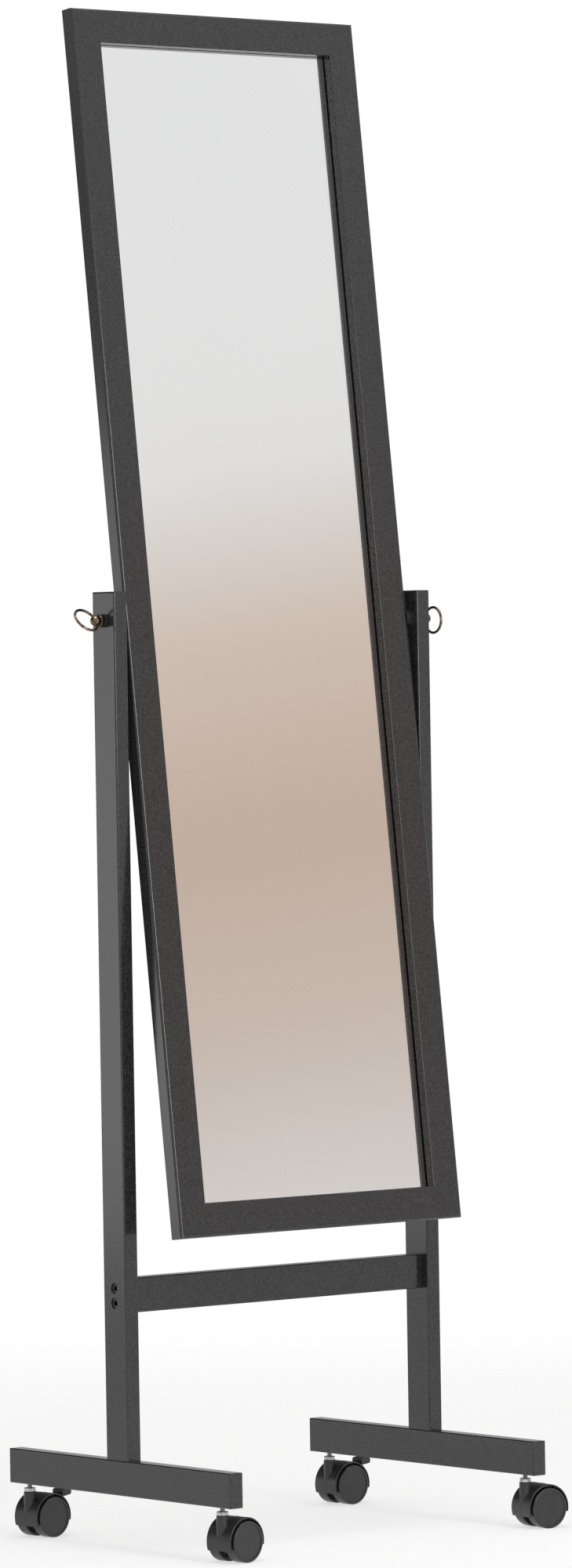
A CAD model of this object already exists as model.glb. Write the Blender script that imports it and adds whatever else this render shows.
import math

import bpy
from mathutils import Matrix, Vector


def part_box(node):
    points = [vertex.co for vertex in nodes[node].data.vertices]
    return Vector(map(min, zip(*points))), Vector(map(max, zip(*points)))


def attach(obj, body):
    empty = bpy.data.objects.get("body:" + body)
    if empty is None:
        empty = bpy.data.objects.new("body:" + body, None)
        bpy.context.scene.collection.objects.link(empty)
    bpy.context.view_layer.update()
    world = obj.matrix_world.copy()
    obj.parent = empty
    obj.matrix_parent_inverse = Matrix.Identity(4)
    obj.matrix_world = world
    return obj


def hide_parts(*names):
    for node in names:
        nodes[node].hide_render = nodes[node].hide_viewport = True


# Rolling floor mirror: finishes, threads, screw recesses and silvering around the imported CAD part.
# Metres; X runs across the front, the mirror faces -Y, Z is up, the origin is on the floor between the posts.

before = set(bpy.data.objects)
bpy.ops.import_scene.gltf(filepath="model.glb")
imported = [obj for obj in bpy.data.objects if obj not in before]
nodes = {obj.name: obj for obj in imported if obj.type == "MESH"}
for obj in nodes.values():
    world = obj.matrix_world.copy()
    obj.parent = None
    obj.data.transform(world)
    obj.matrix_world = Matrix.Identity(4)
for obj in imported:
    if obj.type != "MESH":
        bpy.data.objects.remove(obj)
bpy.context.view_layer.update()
mm = 0.001
print("frame:", len(nodes), "CAD nodes")


def linear(hexColour):
    # sRGB hex to the linear values that the shaders take
    parts = [int(hexColour[i:i + 2], 16) / 255 for i in (1, 3, 5)]
    return [p / 12.92 if p <= 0.04045 else ((p + 0.055) / 1.055) ** 2.4 for p in parts] + [1.0]


def addNode(tree, kind, settings=None, inputs=None, stops=None):
    # inputs are numbers, colours or another node's output; stops are a ramp's (place, hex colour) pairs
    node = tree.nodes.new(kind)
    for key, value in (settings or {}).items():
        setattr(node, key, value)
    for key, value in (inputs or {}).items():
        if isinstance(value, bpy.types.NodeSocket):
            tree.links.new(value, node.inputs[key])
        else:
            node.inputs[key].default_value = value
    if stops:
        ramp = node.color_ramp
        while len(ramp.elements) < len(stops):
            ramp.elements.new(0.5)
        for element, (place, colour) in zip(ramp.elements, stops):
            element.position = place
            element.color = linear(colour)
    return node


def newMaterial(name):
    material = bpy.data.materials.new(name)
    material.use_nodes = True
    material.node_tree.nodes.clear()
    return material, material.node_tree


def perMetre(sizeInMm):
    # a noise's scale for features of that size
    return 1 / (sizeInMm * mm)


# In each finish, "at" gives the two values of its noise between which the tone goes from colour to colour.
# Between these two values the gloss goes from its smooth end to its rough end.
glossFrom, glossTo = 0.3, 0.7

# Satin black alkyd lacquer, sprayed on planed wood: a faint orange peel breaks up a soft, even shine
lacquer = {"colours": ("#1d1d1e", "#333334"), "at": (0.38, 0.62), "mottleMm": 2.2, "mottleDetail": 3.0,
           "mottleRough": 0.6, "peelMm": 2.6, "peelDetail": 1.5, "peelRough": 0.45, "peelDepthMm": 0.008,
           "ior": 1.55, "smooth": 0.13, "rough": 0.18}


def sprayedLacquer():
    material, tree = newMaterial("sprayed_satin_black_lacquer")
    place = addNode(tree, "ShaderNodeTexCoord").outputs["Object"]
    mottle = addNode(tree, "ShaderNodeTexNoise", inputs={
        "Vector": place, "Scale": perMetre(lacquer["mottleMm"]),
        "Detail": lacquer["mottleDetail"], "Roughness": lacquer["mottleRough"]}).outputs["Fac"]
    colour = addNode(tree, "ShaderNodeValToRGB", inputs={"Fac": mottle},
                     stops=[*zip(lacquer["at"], lacquer["colours"])]).outputs["Color"]
    gloss = addNode(tree, "ShaderNodeMapRange", inputs={
        "Value": mottle, "From Min": glossFrom, "From Max": glossTo,
        "To Min": lacquer["smooth"], "To Max": lacquer["rough"]}).outputs["Result"]
    peel = addNode(tree, "ShaderNodeTexNoise", inputs={
        "Vector": place, "Scale": perMetre(lacquer["peelMm"]),
        "Detail": lacquer["peelDetail"], "Roughness": lacquer["peelRough"]}).outputs["Fac"]
    bump = addNode(tree, "ShaderNodeBump", inputs={
        "Height": peel, "Strength": 1.0, "Distance": lacquer["peelDepthMm"] * mm}).outputs["Normal"]
    shader = addNode(tree, "ShaderNodeBsdfPrincipled", inputs={
        "Base Color": colour, "Roughness": gloss, "Normal": bump, "IOR": lacquer["ior"]})
    addNode(tree, "ShaderNodeOutputMaterial", inputs={"Surface": shader.outputs["BSDF"]})
    return material


# Black polyamide, injection moulded against a spark-eroded cavity: a fine dull grain
# The real grain of 0.1 mm is too fine to show, so it is drawn at 0.5 mm
nylon = {"colours": ("#212122", "#2a2a2b"), "at": (0.35, 0.65), "flowMm": 9, "flowDetail": 2.0,
         "grainMm": 0.5, "grainDetail": 2.0, "grainDepthMm": 0.004, "ior": 1.53, "smooth": 0.3, "rough": 0.38}


def mouldedNylon():
    material, tree = newMaterial("moulded_black_polyamide")
    place = addNode(tree, "ShaderNodeTexCoord").outputs["Object"]
    grain = addNode(tree, "ShaderNodeTexNoise", inputs={
        "Vector": place, "Scale": perMetre(nylon["grainMm"]), "Detail": nylon["grainDetail"]}).outputs["Fac"]
    flow = addNode(tree, "ShaderNodeTexNoise", inputs={
        "Vector": place, "Scale": perMetre(nylon["flowMm"]), "Detail": nylon["flowDetail"]}).outputs["Fac"]
    colour = addNode(tree, "ShaderNodeValToRGB", inputs={"Fac": flow},
                     stops=[*zip(nylon["at"], nylon["colours"])]).outputs["Color"]
    gloss = addNode(tree, "ShaderNodeMapRange", inputs={
        "Value": flow, "From Min": glossFrom, "From Max": glossTo,
        "To Min": nylon["smooth"], "To Max": nylon["rough"]}).outputs["Result"]
    bump = addNode(tree, "ShaderNodeBump", inputs={
        "Height": grain, "Strength": 1.0, "Distance": nylon["grainDepthMm"] * mm}).outputs["Normal"]
    shader = addNode(tree, "ShaderNodeBsdfPrincipled", inputs={
        "Base Color": colour, "Roughness": gloss, "Normal": bump, "IOR": nylon["ior"]})
    addNode(tree, "ShaderNodeOutputMaterial", inputs={"Surface": shader.outputs["BSDF"]})
    return material


# Turned metals: plated or patinated, with cloudy tone and fine scratches of the lathe and the barrel
# The real scratches are finer than 0.1 mm and wouldn't show, so they are drawn a few tenths wide
metals = {
    # bright zinc plate on turned steel: pale grey, slightly cloudy
    "zinc_plated_steel": {"colours": ("#a3a3a1", "#cfcfcc"), "cloudMm": 2.5, "scratchMm": 0.35,
                          "depthMm": 0.003, "smooth": 0.24, "rough": 0.4},
    # black zinc on cold-headed steel: dark, with a grey glint on its edges
    "black_zinc_steel": {"colours": ("#232325", "#4a4a4c"), "cloudMm": 2, "scratchMm": 0.35,
                         "depthMm": 0.003, "smooth": 0.25, "rough": 0.38},
    # brass, chemically aged and rubbed back: dark brown in the hollows, pale bronze where it was rubbed
    "antiqued_brass": {"colours": ("#2a211b", "#917d68"), "cloudMm": 3, "scratchMm": 0.4,
                       "depthMm": 0.004, "smooth": 0.2, "rough": 0.36},
}
metalCloud = {"at": (0.36, 0.64), "detail": 4.0, "rough": 0.6, "scratchDetail": 2.0}


def turnedMetal(name):
    wanted = metals[name]
    material, tree = newMaterial(name)
    place = addNode(tree, "ShaderNodeTexCoord").outputs["Object"]
    cloud = addNode(tree, "ShaderNodeTexNoise", inputs={
        "Vector": place, "Scale": perMetre(wanted["cloudMm"]),
        "Detail": metalCloud["detail"], "Roughness": metalCloud["rough"]}).outputs["Fac"]
    colour = addNode(tree, "ShaderNodeValToRGB", inputs={"Fac": cloud},
                     stops=[*zip(metalCloud["at"], wanted["colours"])]).outputs["Color"]
    gloss = addNode(tree, "ShaderNodeMapRange", inputs={
        "Value": cloud, "From Min": glossFrom, "From Max": glossTo,
        "To Min": wanted["rough"], "To Max": wanted["smooth"]}).outputs["Result"]
    scratch = addNode(tree, "ShaderNodeTexNoise", inputs={
        "Vector": place, "Scale": perMetre(wanted["scratchMm"]),
        "Detail": metalCloud["scratchDetail"]}).outputs["Fac"]
    bump = addNode(tree, "ShaderNodeBump", inputs={
        "Height": scratch, "Strength": 1.0, "Distance": wanted["depthMm"] * mm}).outputs["Normal"]
    shader = addNode(tree, "ShaderNodeBsdfPrincipled", inputs={
        "Base Color": colour, "Metallic": 1.0, "Roughness": gloss, "Normal": bump})
    addNode(tree, "ShaderNodeOutputMaterial", inputs={"Surface": shader.outputs["BSDF"]})
    return material


# Float glass, polished: clear and sharp, with hardly any of the green of its iron in so thin a pane
glass = {"colours": ("#ffffff", "#fdfefe"), "at": (0.3, 0.7), "streakMm": 400, "streakDetail": 1.0,
         "ior": 1.52, "roughness": 0.0, "clearness": 1.0}


def floatGlass():
    material, tree = newMaterial("polished_float_glass")
    place = addNode(tree, "ShaderNodeTexCoord").outputs["Object"]
    streak = addNode(tree, "ShaderNodeTexNoise", inputs={
        "Vector": place, "Scale": perMetre(glass["streakMm"]),
        "Detail": glass["streakDetail"]}).outputs["Fac"]
    colour = addNode(tree, "ShaderNodeValToRGB", inputs={"Fac": streak},
                     stops=[*zip(glass["at"], glass["colours"])]).outputs["Color"]
    shader = addNode(tree, "ShaderNodeBsdfPrincipled", inputs={
        "Base Color": colour, "Roughness": glass["roughness"], "IOR": glass["ior"],
        "Transmission Weight": glass["clearness"]})
    addNode(tree, "ShaderNodeOutputMaterial", inputs={"Surface": shader.outputs["BSDF"]})
    return material


# Silver, deposited on the back of the glass: bright and neutral
silver = {"colours": ("#fbfbfa", "#f9f9f8"), "at": (0.3, 0.7), "cloudMm": 300, "cloudDetail": 2.0,
          "roughness": 0.0}


def depositedSilver():
    material, tree = newMaterial("deposited_silver")
    place = addNode(tree, "ShaderNodeTexCoord").outputs["Object"]
    cloud = addNode(tree, "ShaderNodeTexNoise", inputs={
        "Vector": place, "Scale": perMetre(silver["cloudMm"]),
        "Detail": silver["cloudDetail"]}).outputs["Fac"]
    colour = addNode(tree, "ShaderNodeValToRGB", inputs={"Fac": cloud},
                     stops=[*zip(silver["at"], silver["colours"])]).outputs["Color"]
    shader = addNode(tree, "ShaderNodeBsdfPrincipled", inputs={
        "Base Color": colour, "Metallic": 1.0, "Roughness": silver["roughness"]})
    addNode(tree, "ShaderNodeOutputMaterial", inputs={"Surface": shader.outputs["BSDF"]})
    return material


# Woody sheets and rods: fibres pressed or grown along one direction
woods = {
    # hardboard, pressed from wood fibre: brown and felted, with darker flecks
    "pressed_hardboard": {"colours": ("#6d5138", "#9a7a58"), "fibreMm": (1.2, 1.2, 5), "depthMm": 0.03,
                          "roughness": 0.72},
    # beech, turned to dowels: pale, with short darker rays along the grain
    "turned_beech": {"colours": ("#b98f63", "#d8b68a"), "fibreMm": (0.8, 0.8, 6), "depthMm": 0.02,
                     "roughness": 0.6},
}
fibreTone = {"at": (0.32, 0.62), "detail": 5.0, "rough": 0.65}


def woodFibre(name):
    wanted = woods[name]
    material, tree = newMaterial(name)
    place = addNode(tree, "ShaderNodeTexCoord").outputs["Object"]
    stretched = addNode(tree, "ShaderNodeMapping", inputs={
        "Vector": place, "Scale": [perMetre(size) for size in wanted["fibreMm"]]}).outputs["Vector"]
    fibre = addNode(tree, "ShaderNodeTexNoise", inputs={
        "Vector": stretched, "Scale": 1.0,
        "Detail": fibreTone["detail"], "Roughness": fibreTone["rough"]}).outputs["Fac"]
    colour = addNode(tree, "ShaderNodeValToRGB", inputs={"Fac": fibre},
                     stops=[*zip(fibreTone["at"], wanted["colours"])]).outputs["Color"]
    bump = addNode(tree, "ShaderNodeBump", inputs={
        "Height": fibre, "Strength": 1.0, "Distance": wanted["depthMm"] * mm}).outputs["Normal"]
    shader = addNode(tree, "ShaderNodeBsdfPrincipled", inputs={
        "Base Color": colour, "Roughness": wanted["roughness"], "Normal": bump})
    addNode(tree, "ShaderNodeOutputMaterial", inputs={"Surface": shader.outputs["BSDF"]})
    return material


# Natural rubber with carbon black, cut from sheet: dull black with a dusty bloom
rubber = {"colours": ("#121212", "#242423"), "at": (0.4, 0.7), "bloomMm": 2.5, "bloomDetail": 4.0,
          "roughness": 0.7}


def cutRubber():
    material, tree = newMaterial("cut_black_rubber")
    place = addNode(tree, "ShaderNodeTexCoord").outputs["Object"]
    bloom = addNode(tree, "ShaderNodeTexNoise", inputs={
        "Vector": place, "Scale": perMetre(rubber["bloomMm"]),
        "Detail": rubber["bloomDetail"]}).outputs["Fac"]
    colour = addNode(tree, "ShaderNodeValToRGB", inputs={"Fac": bloom},
                     stops=[*zip(rubber["at"], rubber["colours"])]).outputs["Color"]
    shader = addNode(tree, "ShaderNodeBsdfPrincipled", inputs={
        "Base Color": colour, "Roughness": rubber["roughness"]})
    addNode(tree, "ShaderNodeOutputMaterial", inputs={"Surface": shader.outputs["BSDF"]})
    return material


finishes = {
    "lacquer": sprayedLacquer(),
    "nylon": mouldedNylon(),
    "zinc": turnedMetal("zinc_plated_steel"),
    "blackZinc": turnedMetal("black_zinc_steel"),
    "brass": turnedMetal("antiqued_brass"),
    "glass": floatGlass(),
    "silver": depositedSilver(),
    "hardboard": woodFibre("pressed_hardboard"),
    "beech": woodFibre("turned_beech"),
    "rubber": cutRubber(),
}

# what each CAD node is made of, by a word in its name; the first that fits counts
madeOf = [
    ("crossbar_bolts", "blackZinc"), ("castor_stem", "zinc"), ("castor_axle", "zinc"),
    ("castor_housing", "nylon"), ("wheel", "nylon"), ("brake_lever", "nylon"), ("pivot_spacer", "nylon"),
    ("friction_washer", "rubber"), ("thumbscrew", "brass"), ("ring", "brass"), ("mirror_glass", "glass"),
    ("backing_board", "hardboard"), ("dowels", "beech"), ("screws", "zinc"), ("nuts", "zinc"),
    ("insert", "zinc"), ("clips", "zinc"), ("post", "lacquer"), ("rail", "lacquer"), ("stile", "lacquer"),
    ("crossbar", "lacquer"),
]
for name, node in nodes.items():
    finish = next(finish for word, finish in madeOf if word in name)
    node.data.materials.clear()
    node.data.materials.append(finishes[finish])
print("finishes:", len(finishes), "materials on", len(nodes), "nodes")


def newPiece(name, points, faces, finish, body, smooth=True):
    mesh = bpy.data.meshes.new(name)
    mesh.from_pydata(points, [], faces)
    mesh.validate()
    mesh.update()
    mesh.materials.append(finishes[finish])
    for face in mesh.polygons:
        face.use_smooth = smooth
    piece = bpy.data.objects.new(name, mesh)
    bpy.context.scene.collection.objects.link(piece)
    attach(piece, body)
    return piece


# the leaning mirror: its pivot, and the depths of glass and frame behind the frame's front, in millimetres
leaning = {"pivotZ": 899.7, "tiltDegrees": 6.7, "frameWide": 356, "frameHigh": 1200, "frameDepth": 16,
           "lipDepth": 9, "glassThick": 3}
mirrorPlace = Matrix.Translation((0, 0, leaning["pivotZ"] * mm)) @ Matrix.Rotation(
    math.radians(-leaning["tiltDegrees"]), 4, "X")

# silver behind the glass, a little smaller than the pane and just inside its back
silvering = {"width": 299, "height": 1143, "thick": 0.1, "insideBack": 0.05, "corner": 0.4}


def makeSilvering():
    halfW, halfH, cut = silvering["width"] / 2, silvering["height"] / 2, silvering["corner"]
    outline = [(halfW - cut, halfH), (halfW, halfH - cut), (halfW, cut - halfH), (halfW - cut, -halfH),
               (cut - halfW, -halfH), (-halfW, cut - halfH), (-halfW, halfH - cut), (cut - halfW, halfH)]
    back = leaning["lipDepth"] + leaning["glassThick"] - leaning["frameDepth"] / 2 - silvering["insideBack"]
    points = [mirrorPlace @ Vector((x * mm, y * mm, z * mm))
              for y in (back - silvering["thick"], back) for x, z in outline]
    count = len(outline)
    faces = [tuple(range(count)), tuple(reversed(range(count, 2 * count)))]
    faces += [(i, i + count, (i + 1) % count + count, (i + 1) % count) for i in range(count)]
    newPiece("silvering", points, faces, "silver", "mirror", smooth=False)


makeSilvering()
print("silvering behind the glass")


def sharpEdges(piece, degrees=35):
    piece.data.shade_smooth()
    piece.data.set_sharp_from_angle(angle=math.radians(degrees))


def turned(rows, sides, pitch=1.0):
    # rows are (radius, height, depth of thread); gives the points and faces of a closed solid on the Z axis
    points, faces = [], []
    for radius, height, depth in rows:
        for side in range(sides):
            wave = abs(2 * ((height / pitch - side / sides) % 1) - 1)
            reach = radius - depth * wave
            angle = 2 * math.pi * side / sides
            points.append((reach * math.cos(angle), reach * math.sin(angle), height))
    for row in range(len(rows) - 1):
        for side in range(sides):
            a, b = row * sides + side, row * sides + (side + 1) % sides
            faces.append((a, b, b + sides, a + sides))
    faces.append(tuple(reversed(range(sides))))
    faces.append(tuple(range(len(points) - sides, len(points))))
    return points, faces


castors = ["left_rear", "left_front", "right_rear", "right_front"]

# castor stem, in millimetres: kingpin, chamfered collar on the boss, and the thread that shows below the rail
stem = {"kingpinR": 3, "collarR": 5.6, "collarHigh": 4, "gap": 0.2, "chamfer": 0.5, "threadR": 2.5,
        "threadDeep": 0.45, "pitch": 0.8, "rowsPerPitch": 8, "threadLong": 6.4, "sides": 32}


def middle(node):
    low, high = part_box(node)
    return [(a + b) / 2 / mm for a, b in zip(low, high)]


def makeStem(castor):
    node = castor + "_castor_stem"
    low, high = [corner[2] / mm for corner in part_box(node)]
    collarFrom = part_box(castor + "_castor_housing")[1][2] / mm + stem["gap"]
    collarTo = collarFrom + stem["collarHigh"]
    cut, pin, collar, thread = stem["chamfer"], stem["kingpinR"], stem["collarR"], stem["threadR"]
    rows = [(pin - cut, low, 0), (pin, low + cut, 0), (pin, collarFrom, 0), (collar - cut, collarFrom, 0),
            (collar, collarFrom + cut, 0), (collar, collarTo - cut, 0), (collar - cut, collarTo, 0)]
    count = int(stem["threadLong"] / stem["pitch"] * stem["rowsPerPitch"])
    rows += [(thread, collarTo + i * stem["pitch"] / stem["rowsPerPitch"], stem["threadDeep"])
             for i in range(count)]
    rows += [(thread, collarTo + stem["threadLong"], 0), (thread, high - cut, 0), (thread - cut, high, 0)]
    points, faces = turned(rows, stem["sides"], stem["pitch"])
    x, y, _ = middle(node)
    piece = newPiece(castor + "_threaded_stem", [((x + a) * mm, (y + b) * mm, c * mm) for a, b, c in points],
                     faces, "zinc", "stand")
    sharpEdges(piece)
    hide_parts(node)


# line where the two halves of the hood's mould met, in millimetres: a low ridge round its middle
# its arcs go between these angles in degrees, from the rear and up; on a braked castor the window parts it
moulding = {"hoodR": 23.5, "bossR": 6, "bossInset": 0.3, "wide": 0.6, "high": 0.22, "sunk": 0.1, "step": 4,
            "bossDown": 168, "skirtFront": 199, "crown": 112, "skirtRear": -9, "window": (60, 18)}


def makeMouldLine(castor, braked):
    stemX, stemY, _ = middle(castor + "_castor_stem")
    axleX, axleY, axleZ = middle(castor + "_castor_axle")
    trail = math.hypot(axleX - stemX, axleY - stemY)
    along = ((axleX - stemX) / trail, (axleY - stemY) / trail)
    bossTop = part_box(castor + "_castor_housing")[1][2] / mm

    def arc(start, end):
        steps = max(1, round(abs(end - start) / moulding["step"]))
        turns = [math.radians(start + (end - start) * i / steps) for i in range(steps + 1)]
        return [(trail + moulding["hoodR"] * math.cos(t), axleZ + moulding["hoodR"] * math.sin(t),
                 math.cos(t), math.sin(t)) for t in turns]

    down = [(-moulding["bossR"], bossTop - moulding["bossInset"], -1, 0)]
    down += arc(moulding["bossDown"], moulding["skirtFront"])
    upper, lower = moulding["window"]
    back = [arc(moulding["crown"], upper), arc(lower, moulding["skirtRear"])] if braked else [
        arc(moulding["crown"], moulding["skirtRear"])]
    points, faces = [], []
    for path in [down] + back:
        start = len(points)
        for reach, height, outX, outZ in path:
            for across, out in ((-moulding["wide"] / 2, -moulding["sunk"]), (0, moulding["high"]),
                                (moulding["wide"] / 2, -moulding["sunk"])):
                r, z = reach + out * outX, height + out * outZ
                points.append(((stemX + r * along[0] - across * along[1]) * mm,
                               (stemY + r * along[1] + across * along[0]) * mm, z * mm))
        for i in range(len(path) - 1):
            for j in range(3):
                a, b = start + 3 * i + j, start + 3 * i + (j + 1) % 3
                faces.append((a, b, b + 3, a + 3))
        end = start + 3 * len(path) - 3
        faces += [(start + 2, start + 1, start), (end, end + 1, end + 2)]
    newPiece(castor + "_mould_line", points, faces, "nylon", castor + "_castor", smooth=False)


for castor in castors:
    makeStem(castor)
    makeMouldLine(castor, braked="rear" in castor)
print("castors: threaded stems and mould lines")

# screws of the backing clips, in millimetres: a domed pan head with a cross recess, and where they stand
clipScrew = {"headR": 3.2, "rim": 0.38, "headHigh": 1.6, "shankR": 1.5, "shankLong": 9, "sides": 40,
             "domeRows": 6, "crossLong": 3.8, "crossWide": 0.85, "crossDeep": 1.0, "cutPast": 1,
             "clipThick": 1.2, "fromEdge": 20, "fromEnd": 150, "perSide": 4, "turn": 37}


def makeClipScrews():
    want = clipScrew
    rows = [(want["shankR"], -want["shankLong"], 0), (want["shankR"], 0, 0), (want["headR"], 0, 0)]
    for i in range(want["domeRows"]):
        r = want["headR"] * (1 - i / want["domeRows"])
        rows.append((r, want["headHigh"] - (want["headHigh"] - want["rim"]) * (r / want["headR"]) ** 2, 0))
    points, faces = turned(rows, want["sides"])
    head = bpy.data.meshes.new("panHead")
    head.from_pydata(points, [], faces)
    cross = bpy.data.meshes.new("cross")
    long, wide = want["crossLong"] / 2, want["crossWide"] / 2
    outline = [(long, -wide), (long, wide), (wide, wide), (wide, long), (-wide, long), (-wide, wide),
               (-long, wide), (-long, -wide), (-wide, -wide), (-wide, -long), (wide, -long), (wide, -wide)]
    low, high = want["headHigh"] - want["crossDeep"], want["headHigh"] + want["cutPast"]
    count = len(outline)
    cross.from_pydata([(x, y, z) for z in (low, high) for x, y in outline], [],
                      [tuple(reversed(range(count))), tuple(range(count, 2 * count))]
                      + [(i, (i + 1) % count, (i + 1) % count + count, i + count) for i in range(count)])
    screw, cutter = bpy.data.objects.new("panHead", head), bpy.data.objects.new("cross", cross)
    for thing in (screw, cutter):
        bpy.context.scene.collection.objects.link(thing)
    cut = screw.modifiers.new("recess", "BOOLEAN")
    cut.operation, cut.object, cut.solver = "DIFFERENCE", cutter, "EXACT"
    bpy.context.view_layer.update()
    shape = bpy.data.meshes.new_from_object(screw.evaluated_get(bpy.context.evaluated_depsgraph_get()))
    for thing in (screw, cutter):
        bpy.data.objects.remove(thing)
    halfW, halfH = leaning["frameWide"] / 2 - want["fromEdge"], leaning["frameHigh"] / 2 - want["fromEdge"]
    span = leaning["frameHigh"] - 2 * want["fromEnd"]
    places = [(side * halfW, span * (n / (want["perSide"] - 1) - 0.5))
              for side in (-1, 1) for n in range(want["perSide"])]
    places += [(0, -halfH), (0, halfH)]
    clipBack = leaning["frameDepth"] / 2 + want["clipThick"]
    points, faces = [], []
    for number, (x, z) in enumerate(places):
        stands = (mirrorPlace @ Matrix.Translation((x * mm, clipBack * mm, z * mm))
                  @ Matrix.Rotation(math.radians(-90), 4, "X")
                  @ Matrix.Rotation(math.radians(number * want["turn"]), 4, "Z") @ Matrix.Scale(mm, 4))
        faces += [tuple(len(points) + i for i in face.vertices) for face in shape.polygons]
        points += [stands @ point.co for point in shape.vertices]
    piece = newPiece("cross_head_clip_screws", points, faces, "zinc", "mirror")
    sharpEdges(piece)
    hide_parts("clip_screws")


makeClipScrews()
print("clip screws with cross recesses")

# the photograph's viewpoint: place, the view's own axes, and lens
camera = {"place": (-4.4483, -5.4243, 0.8282), "right": (0.77117573, -0.63641513, -0.01624147),
          "up": (0.02654066, 0.00664993, 0.99962562), "back": (-0.63606886, -0.77131807, 0.02201914),
          "lens": 163.84, "shift": (-0.0006, 0.0416), "farClip": 100}


def makeCamera():
    data = bpy.data.cameras.new("camera")
    data.lens = camera["lens"]
    data.shift_x, data.shift_y = camera["shift"]
    data.clip_end = camera["farClip"]
    thing = bpy.data.objects.new("camera", data)
    bpy.context.scene.collection.objects.link(thing)
    facing = Matrix((camera["right"], camera["up"], camera["back"])).transposed().to_4x4()
    thing.matrix_world = Matrix.Translation(camera["place"]) @ facing
    bpy.context.scene.camera = thing


makeCamera()

# soft boxes, seen by the paint but not by the camera: place, the point they face, size, and brightness
# where 1 is white
softBoxes = {
    "overheadBox": {"place": (-0.2, -0.3, 3.3), "faces": (0, 0, 0), "size": (1.5, 1.5), "level": 4.5},
    "sideBox": {"place": (-2.6, 3.1, 0.62), "faces": (0, 0, 0.62), "size": (1.5, 1.24), "level": 1.0},
    "frontBox": {"place": (0, -3.5, 1.4), "faces": (0, 0, 1.1), "size": (0.9, 1.4), "level": 10},
}


def makeSoftBox(name):
    wanted = softBoxes[name]
    data = bpy.data.lights.new(name, "AREA")
    data.shape = "RECTANGLE"
    data.size, data.size_y = wanted["size"]
    data.energy = math.pi * data.size * data.size_y * wanted["level"]
    lamp = bpy.data.objects.new(name, data)
    bpy.context.scene.collection.objects.link(lamp)
    lamp.location = wanted["place"]
    towards = Vector(wanted["faces"]) - Vector(wanted["place"])
    lamp.rotation_euler = towards.to_track_quat("-Z", "Y").to_euler()
    lamp.visible_camera = False


for name in softBoxes:
    makeSoftBox(name)

# The studio around is white to the camera. What shines sees soft tones by the height that a ray goes to: warm
# in front, where the mirror looks, and dark behind. A place on a ramp is half of 1 + the sine of the ray's
# elevation, "turn" is how wide the blend between front and behind is, "light" is what matt surfaces get.
surround = {"light": 0.62, "turn": 0.3,
            "front": [(0.45, "#e6e5e4"), (0.53, "#efeded"), (0.552, "#dad6d4"), (0.566, "#cbbdb4"),
                      (0.58, "#c6b1a2"), (0.594, "#d3c3b8"), (0.606, "#e6e5e5"), (0.64, "#e8e8ea"),
                      (0.7, "#f4f4f5"), (1.0, "#ffffff")],
            "behind": [(0.44, "#f0f0f0"), (0.505, "#ececec"), (0.518, "#747475"), (0.54, "#8e8e8f"),
                       (0.552, "#e6e6e7"), (0.58, "#c8c8c9"), (0.63, "#505051"), (0.88, "#505051"),
                       (0.95, "#ffffff")]}


def makeSurround():
    world = bpy.data.worlds.new("surround")
    bpy.context.scene.world = world
    world.use_nodes = True
    tree = world.node_tree
    tree.nodes.clear()
    way = addNode(tree, "ShaderNodeTexCoord").outputs["Generated"]
    parts = addNode(tree, "ShaderNodeSeparateXYZ", inputs={"Vector": way}).outputs
    share = addNode(tree, "ShaderNodeMapRange", inputs={
        "Value": parts["Z"], "From Min": -1.0, "From Max": 1.0}).outputs["Result"]
    behind = addNode(tree, "ShaderNodeMapRange", {"interpolation_type": "SMOOTHSTEP"}, {
        "Value": parts["Y"], "From Min": -surround["turn"], "From Max": surround["turn"]}).outputs["Result"]
    front, back = [addNode(tree, "ShaderNodeValToRGB", inputs={"Fac": share},
                           stops=surround[side]).outputs["Color"] for side in ("front", "behind")]
    inFront = addNode(tree, "ShaderNodeBackground", inputs={"Color": front, "Strength": 1.0}).outputs[0]
    inBack = addNode(tree, "ShaderNodeBackground", inputs={"Color": back, "Strength": 1.0}).outputs[0]
    toned = addNode(tree, "ShaderNodeMixShader", inputs={0: behind, 1: inFront, 2: inBack}).outputs[0]
    ray = addNode(tree, "ShaderNodeLightPath").outputs
    shines = addNode(tree, "ShaderNodeMath", {"operation": "MAXIMUM"}, {
        0: ray["Is Glossy Ray"], 1: ray["Is Transmission Ray"]}).outputs[0]
    lit, white = [addNode(tree, "ShaderNodeBackground", inputs={
        "Color": linear("#ffffff"), "Strength": strength}).outputs[0]
        for strength in (surround["light"], 1.0)]
    unseen = addNode(tree, "ShaderNodeMixShader", inputs={0: shines, 1: lit, 2: toned}).outputs[0]
    around = addNode(tree, "ShaderNodeMixShader", inputs={
        0: ray["Is Camera Ray"], 1: unseen, 2: white}).outputs[0]
    addNode(tree, "ShaderNodeOutputWorld", inputs={"Surface": around})


makeSurround()

# pale floor, in metres, that fades into the white around it
# "whitened" is the share of plain white that the camera and what shines see in it; the rest keeps the shadows
floor = {"radius": 3.0, "fadeFrom": 0.9, "fadeTo": 2.4, "colours": ("#f4f4f3", "#fafaf9"), "at": (0.3, 0.7),
         "speckMm": 4, "whitened": 0.62, "rings": 6, "sides": 64}


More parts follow.
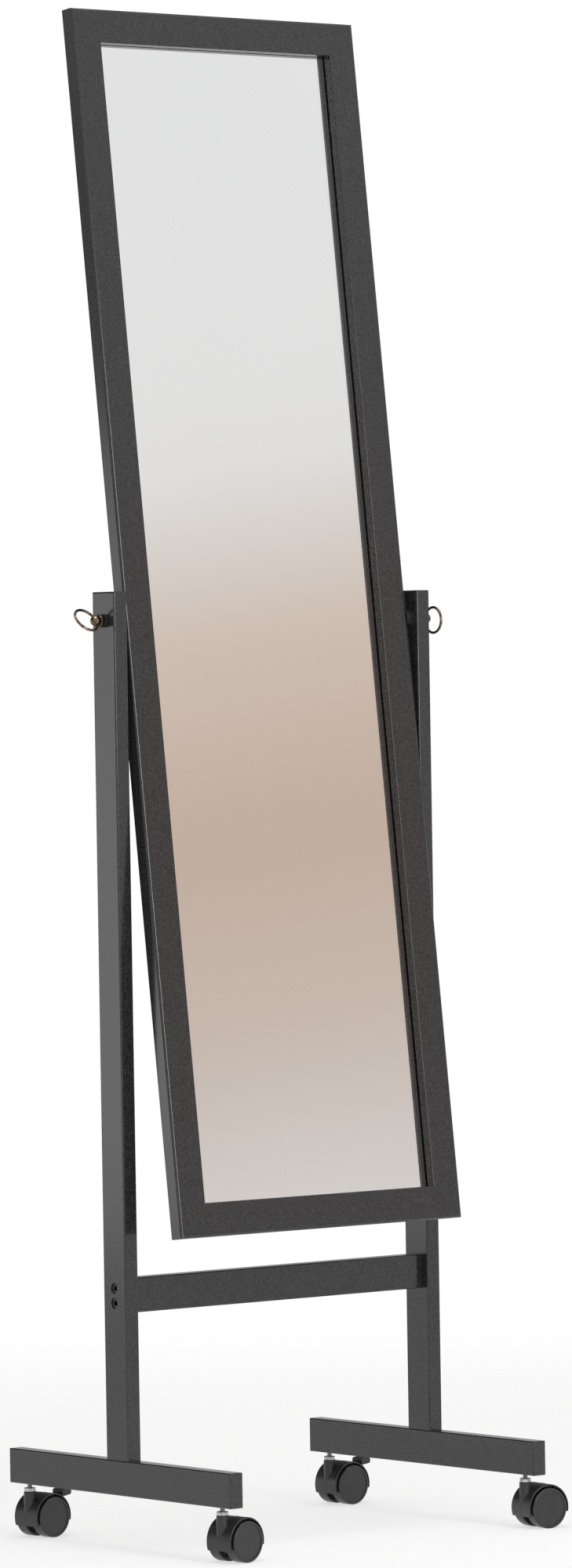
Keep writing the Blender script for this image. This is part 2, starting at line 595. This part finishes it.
def makeFloor():
    material, tree = newMaterial("matt_pale_floor")
    place = addNode(tree, "ShaderNodeTexCoord").outputs["Object"]
    speck = addNode(tree, "ShaderNodeTexNoise", inputs={
        "Vector": place, "Scale": perMetre(floor["speckMm"])}).outputs["Fac"]
    colour = addNode(tree, "ShaderNodeValToRGB", inputs={"Fac": speck},
                     stops=[*zip(floor["at"], floor["colours"])]).outputs["Color"]
    away = addNode(tree, "ShaderNodeVectorMath", {"operation": "LENGTH"}, {0: place}).outputs["Value"]
    fade = addNode(tree, "ShaderNodeMapRange", {"interpolation_type": "SMOOTHSTEP"}, {
        "Value": away, "From Min": floor["fadeFrom"], "From Max": floor["fadeTo"]}).outputs["Result"]
    matt = addNode(tree, "ShaderNodeBsdfDiffuse", inputs={"Color": colour}).outputs[0]
    ray = addNode(tree, "ShaderNodeLightPath").outputs
    shines = addNode(tree, "ShaderNodeMath", {"operation": "MAXIMUM"}, {
        0: ray["Is Glossy Ray"], 1: ray["Is Transmission Ray"]}).outputs[0]
    seen = addNode(tree, "ShaderNodeMath", {"operation": "MAXIMUM"}, {
        0: ray["Is Camera Ray"], 1: shines}).outputs[0]
    share = addNode(tree, "ShaderNodeMath", {"operation": "MULTIPLY"}, {
        0: seen, 1: floor["whitened"]}).outputs[0]
    white = addNode(tree, "ShaderNodeEmission", inputs={
        "Color": linear("#ffffff"), "Strength": 1.0}).outputs[0]
    pale = addNode(tree, "ShaderNodeMixShader", inputs={0: share, 1: matt, 2: white}).outputs[0]
    clear = addNode(tree, "ShaderNodeBsdfTransparent").outputs[0]
    mixed = addNode(tree, "ShaderNodeMixShader", inputs={0: fade, 1: pale, 2: clear}).outputs[0]
    addNode(tree, "ShaderNodeOutputMaterial", inputs={"Surface": mixed})
    points, faces = [(0, 0, 0)], []
    for ring in range(1, floor["rings"] + 1):
        for side in range(floor["sides"]):
            angle = 2 * math.pi * side / floor["sides"]
            reach = floor["radius"] * ring / floor["rings"]
            points.append((reach * math.cos(angle), reach * math.sin(angle), 0))
    for side in range(floor["sides"]):
        after = (side + 1) % floor["sides"]
        faces.append((0, 1 + side, 1 + after))
        for ring in range(floor["rings"] - 1):
            near, far = 1 + ring * floor["sides"], 1 + (ring + 1) * floor["sides"]
            faces.append((near + side, far + side, far + after, near + after))
    mesh = bpy.data.meshes.new("floor")
    mesh.from_pydata(points, [], faces)
    mesh.materials.append(material)
    thing = bpy.data.objects.new("floor", mesh)
    bpy.context.scene.collection.objects.link(thing)


makeFloor()
bpy.context.scene.view_settings.view_transform = "Standard"
print("studio: camera, soft boxes, surround and floor")
